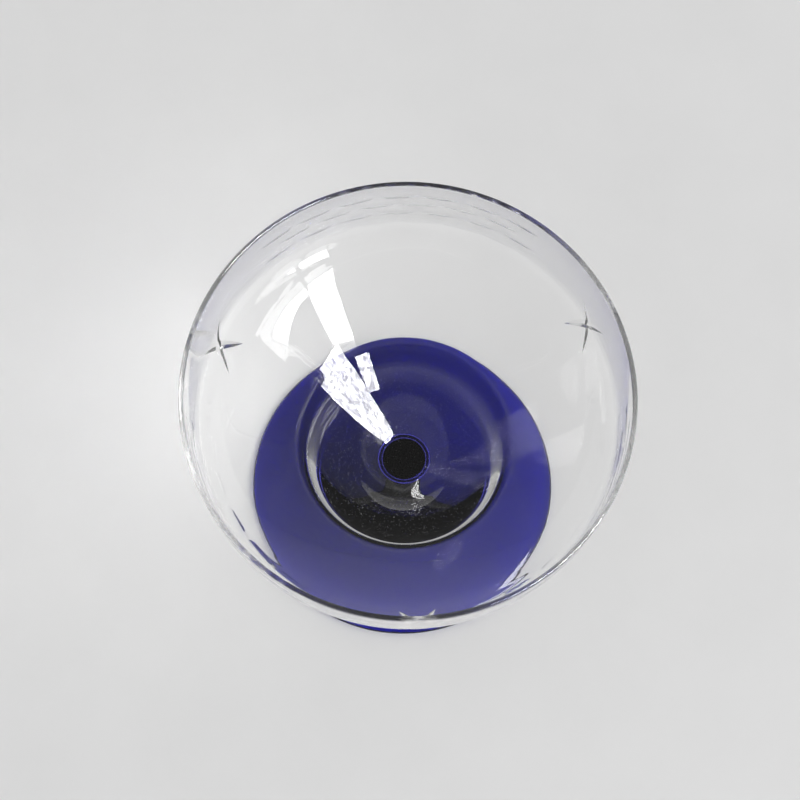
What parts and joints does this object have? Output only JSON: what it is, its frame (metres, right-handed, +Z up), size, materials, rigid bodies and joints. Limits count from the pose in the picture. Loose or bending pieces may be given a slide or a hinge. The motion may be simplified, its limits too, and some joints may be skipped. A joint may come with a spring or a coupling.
{
  "type": "stemmed glass",
  "caption": "Low stemmed drinking glass with a clear cut bowl, a short cobalt-blue stem and a wide blue disc foot, standing mouth up.",
  "frame": {"origin": "centre of the foot's flat resting ring, on the surface the glass stands on", "axes": "+Z up along the glass's axis, from the foot to the open mouth; +X and +Y are any two directions across it"},
  "size_m": [0.096, 0.096, 0.0775],
  "materials": {
    "clear_glass": "polished, with polished wheel cuts below the rim",
    "cobalt_glass": "polished, coloured through"
  },
  "bodies": {
    "root": {"bowl": "clear_glass", "stem": "cobalt_glass", "foot": "cobalt_glass"}
  },
  "joints": []
}
